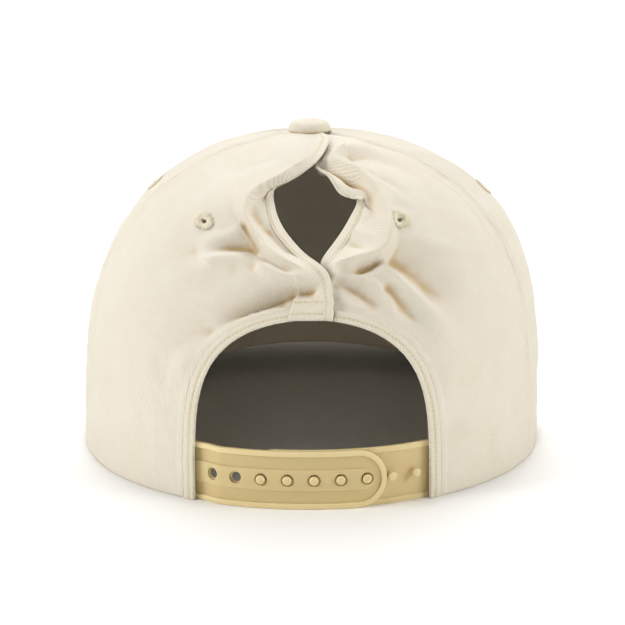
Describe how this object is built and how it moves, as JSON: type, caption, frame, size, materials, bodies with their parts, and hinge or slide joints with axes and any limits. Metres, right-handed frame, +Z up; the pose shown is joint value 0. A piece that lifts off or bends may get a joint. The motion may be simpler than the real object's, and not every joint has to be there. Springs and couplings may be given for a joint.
{
  "type": "rope cap with ponytail opening",
  "caption": "Cloth rope cap with a high crown, a gathered criss-cross ponytail opening, an arched back and a snap strap.",
  "frame": {"origin": "middle of the footprint, on the surface that the cap rests on", "axes": "+Z up through the crown, +Y towards the brim, +X towards the wearer's right, -Y towards the strap"},
  "size_m": [0.1758, 0.2722, 0.1241],
  "materials": {
    "cotton_twill": "washed cream cotton twill",
    "twill_hem": "folded and topstitched cream twill",
    "sweatband_cotton": "plain woven cotton band",
    "twisted_rope": "twisted cotton rope",
    "moulded_strap": "satin tan moulded plastic, a little see-through",
    "eyelet_thread": "cream embroidery thread"
  },
  "bodies": {
    "root": {"back_panel_left": "cotton_twill", "back_panel_right": "cotton_twill", "side_panel_left": "cotton_twill", "side_panel_right": "cotton_twill", "front_panel": "cotton_twill", "arch_binding_left": "twill_hem", "arch_binding_right": "twill_hem", "ponytail_hem_left": "twill_hem", "ponytail_hem_right": "twill_hem", "sweatband": "sweatband_cotton", "brim": "cotton_twill", "front_rope": "twisted_rope", "snap_strap_outer": "moulded_strap", "snap_strap_inner": "moulded_strap", "eyelet_back_left": "eyelet_thread", "eyelet_back_right": "eyelet_thread", "eyelet_side_left": "eyelet_thread", "eyelet_side_right": "eyelet_thread", "top_button": "cotton_twill"}
  },
  "joints": []
}
